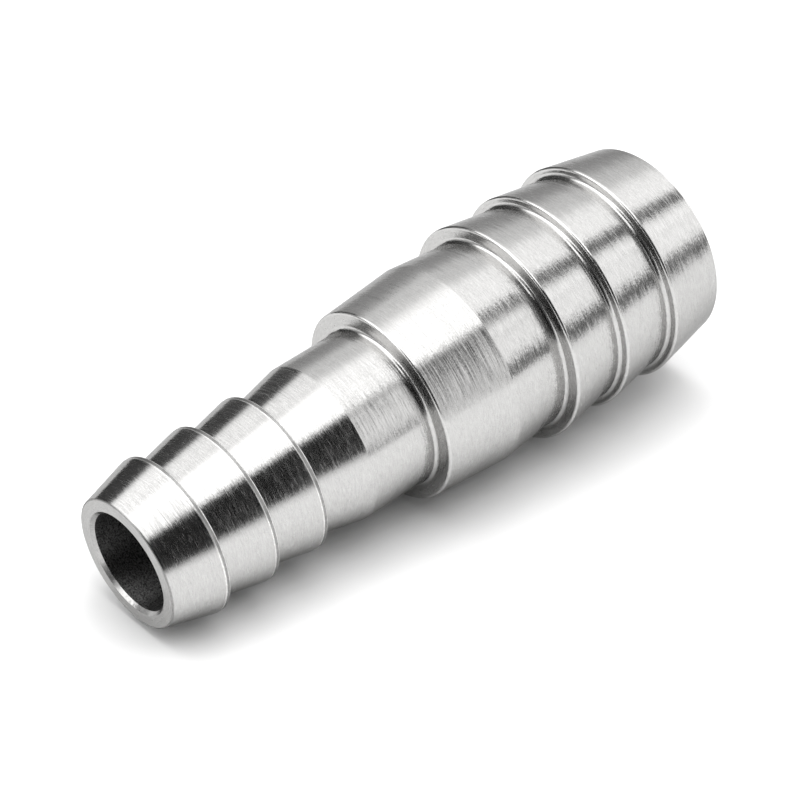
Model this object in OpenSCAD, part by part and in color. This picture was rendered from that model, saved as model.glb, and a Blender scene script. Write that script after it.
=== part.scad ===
// Hose barb reducer, turned from one stainless steel bar.
// It stands on its large end: the large face is at z = 0 and the small tip is at the top.

/* [Small hose end] */
// Diameter over the barbs of the small end
small_d = 14.4; // [13:0.1:16.5]
// Radial height of each small barb
small_step = 1.0; // [0.4:0.05:1.4]
// Number of small barbs
small_barbs = 3; // [1:1:6]
// Length of the first small barb, from the tip to the back of its crest
small_lead = 4.9; // [3:0.1:8]
// Distance from one small barb to the next
small_pitch = 5.1; // [3:0.1:8]
// Width of the flat land on each small crest
land_w = 0.4; // [0.25:0.05:1]
// Radial drop from the barb roots to the tip
tip_drop = 0.2; // [0:0.05:0.4]

/* [Neck and collar] */
// Diameter of the plain neck
neck_d = 14.6; // [13.4:0.1:16.4]
// Length of the plain neck
neck_l = 6.7; // [2:0.1:15]
// Diameter over the ridge of the collar
ridge_d = 19.0; // [18.2:0.1:20]
// Diameter of the collar at both of its ends
collar_end_d = 17.85; // [17.3:0.05:18.2]
// Length from the ridge to the shoulder face
collar_front_l = 7.4; // [2:0.1:12]
// Length from the ridge to the first large barb
collar_back_l = 6.0; // [2:0.1:12]

/* [Large hose end] */
// Diameter over the barbs of the large end
large_d = 20.6; // [20.1:0.1:24]
// Radial height of each large barb
large_step = 0.9; // [0.5:0.05:1.4]
// Number of large barbs
large_barbs = 3; // [1:1:6]
// Distance from one large barb to the next
large_pitch = 5.9; // [3:0.1:8]
// Length of the last large barb, from its crest to the end face
large_lead = 6.3; // [3:0.1:9]
// Diameter of the large end face
large_tip_d = 18.4; // [17.6:0.1:19.6]

/* [Bore] */
// Diameter of the bore through the small end
small_bore_d = 9.0; // [5:0.1:10]
// Diameter of the bore in the large end
large_bore_d = 15.0; // [10.5:0.1:15.6]
// Full depth of the large bore, up to the start of its cone
large_bore_l = 25; // [5:0.5:26]
// Point angle of the drill that cut the large bore
drill_angle = 118; // [90:1:140]

/* [Edges] */
// Radius on the outer edge of the large crests and of the collar
edge_r = 0.22; // [0.05:0.01:0.3]
// Radius on the back edge of the small crests
back_edge_r = 0.1; // [0.05:0.01:0.15]
// Radius that blends each small land into its cone
land_blend_r = 0.5; // [0.2:0.05:0.8]
// Radius in the corners at the foot of each step
root_r = 0.15; // [0.05:0.01:0.2]
// Radius on the rim of each end face
rim_r = 0.15; // [0.05:0.01:0.3]
// Chamfer at each mouth of the bore
mouth_c = 0.3; // [0.1:0.05:0.5]

/* [Hidden] */
$fn = 96;
steel = [0.74, 0.74, 0.73];

// Radii
small_r = small_d / 2;
small_root_r = small_r - small_step;
small_tip_r = small_root_r - tip_drop;
neck_r = neck_d / 2;
ridge_r = ridge_d / 2;
collar_end_r = collar_end_d / 2;
large_r = large_d / 2;
large_root_r = large_r - large_step;
large_tip_r = large_tip_d / 2;

// Heights above the large end face
large_top_z = large_lead + (large_barbs - 1) * large_pitch;
ridge_z = large_top_z + collar_back_l;
shoulder_z = ridge_z + collar_front_l;
neck_top_z = shoulder_z + neck_l;
small_foot_z = neck_top_z + small_pitch;
total_l = small_foot_z + (small_barbs - 1) * small_pitch + small_lead;

// Tilt of a cone that rises by dr over a length dz
function tilt(dr, dz) = atan(dr / dz);
large_lead_tilt = tilt(large_r - large_tip_r, large_lead);
large_tilt = tilt(large_step, large_pitch);
collar_back_tilt = tilt(ridge_r - collar_end_r, collar_back_l);
collar_front_tilt = tilt(ridge_r - collar_end_r, collar_front_l);
neck_cone_tilt = tilt(neck_r - small_root_r, small_pitch);
small_tilt = tilt(small_step, small_pitch - land_w);
small_lead_tilt = tilt(small_r - small_tip_r, small_lead - land_w);

// Points of an arc about a centre, in half section: x is the radius and y is the height
function arc(centre, r, from, to, steps = 6) = [
    for (i = [0:steps])
        let (a = from + (to - from) * i / steps)
        centre + r * [cos(a), sin(a)]
];

// Crest of a large barb, from its cone round to its square face, which looks up at height z
function large_crest(z, cone_tilt) =
    arc([large_r - edge_r, z - edge_r], edge_r, -cone_tilt, 90);

// Foot of a face at height z, where a surface that leans out by cone_tilt rises from it
function rising_foot(r, z, cone_tilt) =
    arc([r + root_r * (tan(cone_tilt) + 1 / cos(cone_tilt)), z + root_r], root_r, 270, 180 - cone_tilt);

// Foot of the back face of a small barb, where the cone below it ends
function closing_foot(r, z, cone_tilt) =
    arc([r + root_r * (tan(cone_tilt) + 1 / cos(cone_tilt)), z - root_r], root_r, 180 + cone_tilt, 90);

// Crest of a small barb: its back face looks down at height z, then come its land and its cone
function small_crest(z, cone_tilt) = concat(
    arc([small_r - back_edge_r, z + back_edge_r], back_edge_r, -90, 0),
    arc([small_r - land_blend_r, z + land_w - land_blend_r * tan(cone_tilt / 2)], land_blend_r, 0, cone_tilt, 3)
);

// Half section of the outside, from the large end face up to the small tip
large_end_points = concat(
    arc([large_tip_r - rim_r, rim_r], rim_r, -90, -large_lead_tilt),
    [for (i = [0:large_barbs - 1]) each concat(
        large_crest(large_lead + i * large_pitch, i == 0 ? large_lead_tilt : large_tilt),
        i == large_barbs - 1
            ? rising_foot(collar_end_r, large_top_z, collar_back_tilt)
            : rising_foot(large_root_r, large_lead + i * large_pitch, large_tilt)
    )]
);
collar_points = concat(
    [[ridge_r, ridge_z]],
    arc([collar_end_r - edge_r, shoulder_z - edge_r], edge_r, collar_front_tilt, 90),
    rising_foot(neck_r, shoulder_z, 0),
    [[neck_r, neck_top_z]]
);
small_end_points = concat(
    [for (i = [0:small_barbs - 1]) each concat(
        closing_foot(small_root_r, small_foot_z + i * small_pitch, i == 0 ? neck_cone_tilt : small_tilt),
        small_crest(small_foot_z + i * small_pitch, i == small_barbs - 1 ? small_lead_tilt : small_tilt)
    )],
    arc([small_tip_r - rim_r, total_l - rim_r], rim_r, small_lead_tilt, 90)
);

// Solid bar with the outside turned
module turned_outside() {
    rotate_extrude()
        polygon(concat([[0, 0]], large_end_points, collar_points, small_end_points, [[0, total_l]]));
}

// Stepped bore: a small drill right through, and a larger one from the large end with its cone
module stepped_bore() {
    cone_l = (large_bore_d - small_bore_d) / 2 / tan(drill_angle / 2);
    translate([0, 0, -1])
        cylinder(h = total_l + 2, d = small_bore_d);
    translate([0, 0, -1])
        cylinder(h = large_bore_l + 1, d = large_bore_d);
    translate([0, 0, large_bore_l])
        cylinder(h = cone_l, d1 = large_bore_d, d2 = small_bore_d);
    translate([0, 0, -1])
        cylinder(h = mouth_c + 1, r1 = large_bore_d / 2 + mouth_c + 1, r2 = large_bore_d / 2);
    translate([0, 0, total_l - mouth_c])
        cylinder(h = mouth_c + 1, r1 = small_bore_d / 2, r2 = small_bore_d / 2 + mouth_c + 1);
}

module reducer_body() {
    color(steel)
        difference() {
            turned_outside();
            stepped_bore();
        }
}

reducer_body();
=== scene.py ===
"""Looks of a turned hose barb reducer: its steel, the floor it lies on, the studio light and the camera."""

import bpy
import numpy as np
from mathutils import Matrix, Vector


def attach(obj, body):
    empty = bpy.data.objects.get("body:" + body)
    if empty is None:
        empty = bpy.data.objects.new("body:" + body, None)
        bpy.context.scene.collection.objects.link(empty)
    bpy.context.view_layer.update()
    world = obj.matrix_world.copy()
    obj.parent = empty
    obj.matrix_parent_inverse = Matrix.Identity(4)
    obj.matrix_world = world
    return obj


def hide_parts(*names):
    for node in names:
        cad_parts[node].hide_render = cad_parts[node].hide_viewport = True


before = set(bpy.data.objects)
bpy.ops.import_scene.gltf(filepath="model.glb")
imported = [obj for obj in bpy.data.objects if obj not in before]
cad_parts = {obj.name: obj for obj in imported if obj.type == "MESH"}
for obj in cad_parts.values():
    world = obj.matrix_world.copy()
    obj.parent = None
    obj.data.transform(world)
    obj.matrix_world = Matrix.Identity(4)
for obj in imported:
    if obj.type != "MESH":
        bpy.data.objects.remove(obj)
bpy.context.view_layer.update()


# Reducer body
# One piece turned from stainless steel bar on a lathe, then bored from both ends. It has three barbs for a
# narrow hose, a plain neck, a collar that swells to a ridge, and three barbs for a wider hose.

# radii from the axis, in metres like every size here
SMALL_CREST, SMALL_ROOT, SMALL_TIP = 0.0072, 0.0062, 0.0060
NECK, COLLAR_END, RIDGE = 0.0073, 0.008925, 0.0095
LARGE_CREST, LARGE_ROOT, LARGE_TIP = 0.0103, 0.0094, 0.0092
SMALL_BORE, LARGE_BORE = 0.0045, 0.0075

# lengths along the part, and the heights above the large end face that they give
LARGE_LEAD, LARGE_PITCH, COLLAR_BACK, COLLAR_FRONT = 0.0063, 0.0059, 0.0060, 0.0074
NECK_LENGTH, SMALL_PITCH, SMALL_LEAD, LAND = 0.0067, 0.0051, 0.0049, 0.0004
large_heights = LARGE_LEAD + LARGE_PITCH * np.array([0, 1, 2])
ridge_height = large_heights[-1] + COLLAR_BACK
shoulder_height = ridge_height + COLLAR_FRONT
neck_top = shoulder_height + NECK_LENGTH
small_heights = neck_top + SMALL_PITCH * np.array([1, 2, 3])
full_length = small_heights[-1] + SMALL_LEAD

# the bore's step, which keeps the cone of its drill, and the chamfer at each mouth
LARGE_BORE_DEPTH, DRILL_POINT, MOUTH_CHAMFER = 0.025, np.radians(118), 0.0003
small_bore_start = LARGE_BORE_DEPTH + (LARGE_BORE - SMALL_BORE) / np.tan(DRILL_POINT / 2)

# radii of the roundings
EDGE, BACK_EDGE, LAND_BLEND, RIM = 0.00022, 0.0001, 0.0005, 0.00015
LARGE_FOOT, SMALL_FOOT = 0.00036, 0.00015

# how much light the steel of each cut returns, and its roughness; the lighter edges are painted highlights,
# the darker lands, tip rim, mouth chamfers and bore painted shade
TURNED, FACED, BROKEN_EDGE_PAINTED_HIGHLIGHT, CREST_PAINTED_HIGHLIGHT = (0.5, 0.19), (0.5, 0.2), (0.55, 0.2), (0.72, 0.3)
CORNER, NARROW_PAINTED_SHADE, COUNTERSUNK_PAINTED_SHADE, DRILLED_PAINTED_SHADE = (0.52, 0.2), (0.29, 0.28), (0.4, 0.24), (0.1, 0.5)


def arc(radius, height, size, start, end, cut, then=TURNED, steps=6):
    """Arc in half section about (radius, height): centre + size * (cos a, sin a), with a from start to end
    in radians. Each point carries the cut of the surface that starts there: the last one has the next cut."""
    a = np.linspace(start, end, steps + 1)
    cuts = np.array([cut] * steps + [then])
    return np.column_stack([radius + size * np.cos(a), height + size * np.sin(a), cuts])


def large_barb(height, root, below, above):
    """Crest and foot of a large barb. An arc of EDGE leads from its cone, which leans by atan(below), to its
    square face. An arc of LARGE_FOOT ends the face at radius root, where the next surface leans out by
    atan(above)."""
    lean, rise = np.arctan(below), np.arctan(above)
    foot = root + LARGE_FOOT * (np.tan(rise) + 1 / np.cos(rise))
    # the crest's rounding is coloured a little lighter than the steel: a painted highlight
    return np.concatenate(
        [
            arc(LARGE_CREST - EDGE, height - EDGE, EDGE, -lean, np.pi / 2, BROKEN_EDGE_PAINTED_HIGHLIGHT, FACED),
            arc(foot, height + LARGE_FOOT, LARGE_FOOT, 1.5 * np.pi, np.pi - rise, CORNER, steps=10),
        ]
    )


def small_barb(height, below, above):
    """Foot and crest of a small barb. An arc of SMALL_FOOT leads from the cone below, which closes by
    atan(below), to the back face. An arc of BACK_EDGE leads up to the land, and an arc of LAND_BLEND from the
    land to the cone above, which leans by atan(above)."""
    rise, lean = np.arctan(below), np.arctan(above)
    foot = SMALL_ROOT + SMALL_FOOT * (np.tan(rise) + 1 / np.cos(rise))
    blend_height = height + LAND - LAND_BLEND * np.tan(lean / 2)
    # the back edge and the blend into the cone are coloured much lighter than the steel, a painted highlight,
    # and the land darker, painted shade
    return np.concatenate(
        [
            arc(foot, height - SMALL_FOOT, SMALL_FOOT, np.pi + rise, np.pi / 2, CORNER, FACED),
            arc(SMALL_CREST - BACK_EDGE, height + BACK_EDGE, BACK_EDGE, -np.pi / 2, 0, CREST_PAINTED_HIGHLIGHT, NARROW_PAINTED_SHADE),
            arc(SMALL_CREST - LAND_BLEND, blend_height, LAND_BLEND, 0, lean, CREST_PAINTED_HIGHLIGHT, steps=3),
        ]
    )


def with_rings(points, gap=0.0006, close=0.00003):
    """Adds points along each straight stretch: one just inside each of its ends, at the distance close, so
    that smooth shading keeps the stretch straight, and even ones between them, about gap apart."""
    rows = []
    for point, following in zip(points, np.roll(points, -1, axis=0)):
        step = following[:2] - point[:2]
        length = np.hypot(*step)
        rows.append(point[None])
        if length > 4 * close:
            inner = np.linspace(close, length - close, max(2, int(length / gap)))[:, None] / length
            cuts = np.broadcast_to(point[2:], (len(inner), 2))
            rows.append(np.column_stack([point[:2] + inner * step, cuts]))
    return np.concatenate(rows)


def revolve(name, points, sides=240, sharp_bend=np.radians(32)):
    """Closed surface of revolution: (r cos t, r sin t, z) for each (r, z) of a closed half section that runs
    up the outside and down the bore, and for t all the way round. Each strip of faces keeps its cut as two
    attributes, and an edge where the surface bends by more than sharp_bend stays sharp."""
    t = np.linspace(0, 2 * np.pi, sides, endpoint=False)
    r, z = points[:, 0, None], points[:, 1, None]
    places = np.stack([r * np.cos(t), r * np.sin(t), z + 0 * t], axis=2).reshape(-1, 3)
    ring, step = np.meshgrid(np.arange(len(points)), np.arange(sides), indexing="ij")
    up, on = (ring + 1) % len(points), (step + 1) % sides
    corners = [ring * sides + step, ring * sides + on, up * sides + on, up * sides + step]
    faces = np.stack(corners, axis=2).reshape(-1, 4)
    mesh = bpy.data.meshes.new(name)
    mesh.from_pydata(places.tolist(), [], faces.tolist())
    mesh.polygons.foreach_set("use_smooth", np.ones(len(faces), bool))
    mesh.set_sharp_from_angle(angle=sharp_bend)
    for column, label in ((2, "returned_light"), (3, "roughness")):
        kept = mesh.attributes.new(label, "FLOAT", "FACE")
        kept.data.foreach_set("value", np.repeat(points[:, column], sides))
    mesh.update()
    piece = bpy.data.objects.new(name, mesh)
    bpy.context.scene.collection.objects.link(piece)
    return piece


lead_slope = (LARGE_CREST - LARGE_TIP) / LARGE_LEAD
large_slope = (LARGE_CREST - LARGE_ROOT) / LARGE_PITCH
back_slope = (RIDGE - COLLAR_END) / COLLAR_BACK
front_slope = (RIDGE - COLLAR_END) / COLLAR_FRONT
neck_slope = (NECK - SMALL_ROOT) / SMALL_PITCH
small_slope = (SMALL_CREST - SMALL_ROOT) / (SMALL_PITCH - LAND)
tip_slope = (SMALL_CREST - SMALL_TIP) / (SMALL_LEAD - LAND)

shoulder_rim = (COLLAR_END - EDGE, shoulder_height - EDGE, EDGE)
shoulder_foot = (NECK + LARGE_FOOT, shoulder_height + LARGE_FOOT, LARGE_FOOT)
# the bore's steel is coloured very dark and the mouth chamfers a little dark: painted shade
bore = [
    [SMALL_BORE + MOUTH_CHAMFER, full_length, *COUNTERSUNK_PAINTED_SHADE],
    [SMALL_BORE, full_length - MOUTH_CHAMFER, *DRILLED_PAINTED_SHADE],
    [SMALL_BORE, small_bore_start, *DRILLED_PAINTED_SHADE],
    [LARGE_BORE, LARGE_BORE_DEPTH, *DRILLED_PAINTED_SHADE],
    [LARGE_BORE, MOUTH_CHAMFER, *COUNTERSUNK_PAINTED_SHADE],
    [LARGE_BORE + MOUTH_CHAMFER, 0, *FACED],
]

half_section = np.concatenate(
    [
        # the rounding at the large end, each crest edge and the shoulder's rim are coloured a little lighter
        # than the steel: a painted highlight
        arc(LARGE_TIP - RIM, RIM, RIM, -np.pi / 2, -np.arctan(lead_slope), BROKEN_EDGE_PAINTED_HIGHLIGHT),
        large_barb(large_heights[0], LARGE_ROOT, lead_slope, large_slope),
        large_barb(large_heights[1], LARGE_ROOT, large_slope, large_slope),
        large_barb(large_heights[2], COLLAR_END, large_slope, back_slope),
        [[RIDGE, ridge_height, *TURNED]],
        arc(*shoulder_rim, np.arctan(front_slope), np.pi / 2, BROKEN_EDGE_PAINTED_HIGHLIGHT, FACED),
        arc(*shoulder_foot, 1.5 * np.pi, np.pi, CORNER, steps=10),
        [[NECK, neck_top, *TURNED]],
        small_barb(small_heights[0], neck_slope, small_slope),
        small_barb(small_heights[1], small_slope, small_slope),
        small_barb(small_heights[2], small_slope, tip_slope),
        # the tip's rim is coloured darker than the steel: painted shade
        arc(SMALL_TIP - RIM, full_length - RIM, RIM, np.arctan(tip_slope), np.pi / 2, NARROW_PAINTED_SHADE, FACED),
        bore,
    ]
)
body = revolve("turned_body", with_rings(half_section))


def add_node(tree, kind, **settings):
    """New node of that kind. in_NAME or in_NUMBER sets an input, to a value or to another node's output."""
    new = tree.nodes.new(kind)
    for key, value in settings.items():
        if not key.startswith("in_"):
            setattr(new, key, value)
    for key, value in settings.items():
        if key.startswith("in_"):
            name = key[3:]
            socket = new.inputs[int(name)] if name.isdigit() else new.inputs[name.replace("_", " ")]
            if isinstance(value, bpy.types.NodeSocket):
                tree.links.new(value, socket)
            else:
                socket.default_value = value
    return new


def work_out(tree, operation, *values):
    """Result of one operation on up to three numbers or outputs."""
    settings = {f"in_{i}": v for i, v in enumerate(values)}
    return add_node(tree, "ShaderNodeMath", operation=operation, **settings).outputs[0]


def work_out_vector(tree, operation, *values):
    """Result of one operation on vectors or outputs. A length is a number."""
    settings = {f"in_{i}": v for i, v in enumerate(values)}
    made = add_node(tree, "ShaderNodeVectorMath", operation=operation, **settings)
    return made.outputs[1 if operation == "LENGTH" else 0]


def turned_steel(tint=(1.0, 0.993, 0.981)):
    """Bright stainless steel, a touch warmer than grey by its tint. Its marks run round the axis: each noise
    is stretched round the part and packed along z - r, which changes along every cone, cylinder and square
    face. They tip the surface a little along the part and round it, and change how much light it returns."""
    material = bpy.data.materials.new("turned_steel")
    material.use_nodes = True
    tree = material.node_tree
    tree.nodes.clear()
    place = add_node(tree, "ShaderNodeTexCoord").outputs["Object"]
    x, y, z = add_node(tree, "ShaderNodeSeparateXYZ", in_Vector=place).outputs
    flat = add_node(tree, "ShaderNodeCombineXYZ", in_X=x, in_Y=y).outputs[0]
    along = work_out(tree, "SUBTRACT", z, work_out_vector(tree, "LENGTH", flat))

    def marks(per_metre_round, per_metre_along, seed):
        """Noise in streaks round the part, from 0 to 1 and about 0.5 on average. The two numbers say how many
        streaks fit in a metre, round the part and along it."""
        long_x, long_y = [work_out(tree, "MULTIPLY", axis, per_metre_round) for axis in (x, y)]
        packed = work_out(tree, "MULTIPLY", along, per_metre_along)
        at = add_node(tree, "ShaderNodeCombineXYZ", in_X=long_x, in_Y=long_y, in_Z=packed).outputs[0]
        plain = {"noise_dimensions": "4D", "in_Scale": 1.0, "in_Detail": 0.0}
        return add_node(tree, "ShaderNodeTexNoise", in_Vector=at, in_W=seed, **plain).outputs[0]

    def between(value, low, high):
        """Noise value about 0.5 turned into one from low to high."""
        return work_out(tree, "MULTIPLY_ADD", value, high - low, low)

    # the tool's lines, finer hairs on them, the grain of the steel, the feed of the tool, and dull specks
    lines = marks(300, 8500, seed=1.3)
    hairs = marks(1800, 11000, seed=4.7)
    grain = marks(7000, 11000, seed=9.9)
    feed = marks(120, 1500, seed=7.1)
    specks = marks(1300, 13000, seed=2.2)

    # how far each kind of mark tips the surface, in radians
    normal = add_node(tree, "ShaderNodeNewGeometry").outputs["Normal"]
    round_way = work_out_vector(tree, "NORMALIZE", work_out_vector(tree, "CROSS_PRODUCT", (0, 0, 1), flat))
    along_way = work_out_vector(tree, "CROSS_PRODUCT", normal, round_way)
    tip = work_out(tree, "ADD", between(lines, -0.09, 0.09), between(feed, -0.006, 0.006))
    tip = work_out(tree, "ADD", tip, between(grain, -0.05, 0.05))
    turn = work_out(tree, "ADD", between(hairs, -0.016, 0.016), between(grain, -0.03, 0.03))
    for way, size in ((along_way, tip), (round_way, turn)):
        move = add_node(tree, "ShaderNodeVectorMath", operation="SCALE", in_0=way, in_Scale=size).outputs[0]
        normal = work_out_vector(tree, "ADD", normal, move)
    normal = work_out_vector(tree, "NORMALIZE", normal)

    # hairs vary the light that the steel returns, and so does the grain, the more the rougher the cut; in the
    # rough bore the grain's bright patches are painted sparkle
    roughness = add_node(tree, "ShaderNodeAttribute", attribute_name="roughness").outputs["Fac"]
    returned = add_node(tree, "ShaderNodeAttribute", attribute_name="returned_light").outputs["Fac"]
    shade = work_out(tree, "MULTIPLY", returned, between(hairs, 0.86, 1.14))
    grain_and_painted_sparkle = work_out(tree, "MULTIPLY", work_out(tree, "POWER", roughness, 3.0), between(grain, -14.0, 14.0))
    shade = work_out(tree, "MULTIPLY_ADD", shade, grain_and_painted_sparkle, shade)
    red, green, blue = [work_out(tree, "MULTIPLY", shade, part) for part in tint]
    colour = add_node(tree, "ShaderNodeCombineColor", in_Red=red, in_Green=green, in_Blue=blue).outputs[0]

    # a speck is rougher by up to 0.1
    speck_range = {"in_From_Min": 0.45, "in_From_Max": 0.8, "in_To_Max": 0.1}
    dull = add_node(tree, "ShaderNodeMapRange", in_Value=specks, **speck_range).outputs[0]
    shader = add_node(
        tree,
        "ShaderNodeBsdfPrincipled",
        in_Base_Color=colour,
        in_Metallic=1.0,
        in_Specular_Tint=(0.5, 0.5, 0.5, 1),
        in_Roughness=work_out(tree, "ADD", roughness, dull),
        in_Anisotropic=0.7,
        in_Anisotropic_Rotation=0.25,
        in_Normal=normal,
        in_Tangent=add_node(tree, "ShaderNodeTangent", direction_type="RADIAL", axis="Z").outputs[0],
    )
    add_node(tree, "ShaderNodeOutputMaterial", in_Surface=shader.outputs[0])
    return material


body.data.materials.append(turned_steel())
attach(body, "root")
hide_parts("reducer_body")


# Floor
# A matt white sheet under the part as it lies on its side, held up by one large crest and one small crest.
# It is seen from above only, so that it hides nothing from below.

FLOOR_MIDDLE, FLOOR_HALF = Vector((0.5, 0, 0.03)), 0.6

# angle between the part's axis and the floor
lie = np.arctan2(LARGE_CREST - SMALL_CREST, small_heights[-1] - large_heights[-1])
floor_up = Vector((0, np.cos(lie), -np.sin(lie)))
floor_along = Vector((0, np.sin(lie), np.cos(lie)))
floor_drop = float(np.max(half_section[:, :2] @ [np.cos(lie), np.sin(lie)]))


def sheet(name, middle, half):
    """Square sheet that faces floor_up: middle + s * half * x + t * half * floor_along, for s and t of -1
    and 1."""
    s, t = np.meshgrid([-1, 1], [-1, 1], indexing="ij")
    places = np.array(middle) + half * (s[..., None] * [1, 0, 0] + t[..., None] * np.array(floor_along))
    mesh = bpy.data.meshes.new(name)
    mesh.from_pydata(places.reshape(-1, 3).tolist(), [], [(0, 1, 3, 2)])
    mesh.update()
    if mesh.polygons[0].normal.dot(floor_up) < 0:
        mesh.flip_normals()
    made = bpy.data.objects.new(name, mesh)
    bpy.context.scene.collection.objects.link(made)
    return made


def white_sheet(albedo=0.7):
    """Matt white that returns albedo of the light from above, and clear from below."""
    material = bpy.data.materials.new("white_sheet")
    material.use_nodes = True
    tree = material.node_tree
    tree.nodes.clear()
    matt = add_node(tree, "ShaderNodeBsdfDiffuse", in_Color=(albedo, albedo, albedo, 1)).outputs[0]
    clear = add_node(tree, "ShaderNodeBsdfTransparent").outputs[0]
    behind = add_node(tree, "ShaderNodeNewGeometry").outputs["Backfacing"]
    either = add_node(tree, "ShaderNodeMixShader", in_0=behind, in_1=matt, in_2=clear).outputs[0]
    add_node(tree, "ShaderNodeOutputMaterial", in_Surface=either)
    return material


floor = sheet("floor", FLOOR_MIDDLE - floor_up * (floor_drop + FLOOR_MIDDLE.dot(floor_up)), FLOOR_HALF)
floor.data.materials.append(white_sheet())


# Light
# A white studio with long soft boxes and dark flags parallel to the part, as bright metal is lit.
# Each is a band of directions, with an angle round the part and a reach along z.

world = bpy.data.worlds.new("studio")
bpy.context.scene.world = world
world.use_nodes = True
sky = world.node_tree
sky.nodes.clear()
look = add_node(sky, "ShaderNodeTexCoord").outputs["Generated"]
look_x, look_y, look_z = add_node(sky, "ShaderNodeSeparateXYZ", in_Vector=look).outputs
look_round = work_out(sky, "MULTIPLY", work_out(sky, "ARCTAN2", look_x, look_y), 180 / np.pi)


def smooth(value, start, end):
    """Smooth step of value from 0 at start to 1 at end."""
    step = {"interpolation_type": "SMOOTHSTEP", "in_From_Min": start, "in_From_Max": end}
    return add_node(sky, "ShaderNodeMapRange", in_Value=value, **step).outputs[0]


def band(light, level, middle, half, soft, low=-1.2, high=1.2, ends=0.05, lean=0.0, skew=0.0):
    """Lays a band of that level over the light so far. It is half degrees wide each way about
    middle + lean * z, with an edge of soft degrees. It reaches from low to high in z, with ends that fade
    over ends each way and that slope along z by skew for each degree off the middle."""
    off = work_out(sky, "SUBTRACT", look_round, work_out(sky, "MULTIPLY_ADD", look_z, lean, middle))
    across = smooth(work_out(sky, "ABSOLUTE", off), half + soft, half - soft)
    level_z = work_out(sky, "MULTIPLY_ADD", off, -skew, look_z)
    above, under = smooth(level_z, low - ends, low + ends), smooth(level_z, high + ends, high - ends)
    part = work_out(sky, "MULTIPLY", work_out(sky, "MULTIPLY", above, under), across)
    return work_out(sky, "MULTIPLY_ADD", part, work_out(sky, "SUBTRACT", level, light), light)


# angles: 0 is straight up from the floor, positive towards the camera
# z: from -1, towards the large end, to 1, towards the small tip
# level: 1 is the white that the camera sees behind the part
light = 1.3

# the box overhead, which dims towards the large end, and a box on the camera's side
light = band(light, 2.5, 5, 34, 9)
light = band(light, 1.7, 5, 36, 9, high=-0.4, ends=0.12)
light = band(light, 1.6, 60, 14, 10, high=-0.42, ends=0.1)

# strips, a box and flags on the far side
light = band(light, 1.45, -25, 7, 6, low=-0.3)
light = band(light, 1.75, -43, 11, 6, low=-0.25, ends=0.1)
light = band(light, 1.05, -47, 12, 12, high=-0.2, ends=0.1)
light = band(light, 0.07, -82, 26, 5, low=-0.35, ends=0.04)
light = band(light, 0.5, -86, 24, 10, low=0.3, ends=0.1)
light = band(light, 2.9, -38, 20, 6, low=0.12, ends=0.06)
light = band(light, 0.6, -83, 19, 12, high=-0.35, ends=0.04)

# black flags on the camera's side, the widest towards the small tip
light = band(light, 0.005, 56, 28, 6, low=-0.34, ends=0.07, skew=0.004)
light = band(light, 0.02, 39, 38, 12, low=0.24, ends=0.08)
light = band(light, 0.1, 38, 44, 8, low=0.6, ends=0.07)

# narrow black flags towards the large end, set askew to the part
light = band(light, 0.01, 106, 9, 4, high=-0.5, ends=0.16, lean=25)
light = band(light, 0.01, 62, 9, 6, high=-0.58, ends=0.14, lean=58)

# a box beyond the large end, and one under the small tip
light = band(light, 2.6, 0, 100, 20, high=-0.91, ends=0.03)
light = band(light, 2, -137, 30, 12, low=0.62, ends=0.08)

# the camera itself sees plain white
seen = add_node(sky, "ShaderNodeLightPath").outputs["Is Camera Ray"]
shown = work_out(sky, "MULTIPLY_ADD", seen, work_out(sky, "SUBTRACT", 1.0, light), light)
grey = add_node(sky, "ShaderNodeCombineColor", in_Red=shown, in_Green=shown, in_Blue=shown).outputs[0]
glow = add_node(sky, "ShaderNodeBackground", in_Color=grey, in_Strength=1.0)
add_node(sky, "ShaderNodeOutputWorld", in_Surface=glow.outputs[0])
bpy.context.scene.view_settings.view_transform = "Standard"

# a soft box above that lights the floor and shows in no reflection
BOX_HEIGHT, BOX_MIDDLE = 0.5, Vector((0.15, 0, 0.03))
overhead = bpy.data.objects.new("overhead_box", bpy.data.lights.new("overhead_box", "AREA"))
overhead.data.shape = "RECTANGLE"
overhead.data.size = 0.6
overhead.data.size_y = 0.3
overhead.data.energy = 2.4
overhead.visible_glossy = False
across_floor = Vector((1, 0, 0))
facing_down = Matrix((across_floor, floor_up.cross(across_floor), floor_up)).transposed().to_4x4()
overhead.matrix_world = Matrix.Translation(floor_up * BOX_HEIGHT + BOX_MIDDLE) @ facing_down
bpy.context.scene.collection.objects.link(overhead)


# Camera
# Level with the floor that the part lies on, above the small tip and to one side, with a long lens.

# where it stands, and the point that it faces
CAMERA_PLACE = Vector((0.146909, 0.158580, 0.145238))
CAMERA_AIM = Vector((0.000347, -0.000320, 0.029442))
back = (CAMERA_PLACE - CAMERA_AIM).normalized()
right = floor_up.cross(back).normalized()
facing = Matrix((right, back.cross(right), back)).transposed().to_4x4()
camera = bpy.data.objects.new("camera", bpy.data.cameras.new("camera"))
camera.data.lens = 130.3
camera.data.sensor_width = 36
camera.data.clip_start = 0.01
camera.matrix_world = Matrix.Translation(CAMERA_PLACE) @ facing
bpy.context.scene.collection.objects.link(camera)
bpy.context.scene.camera = camera
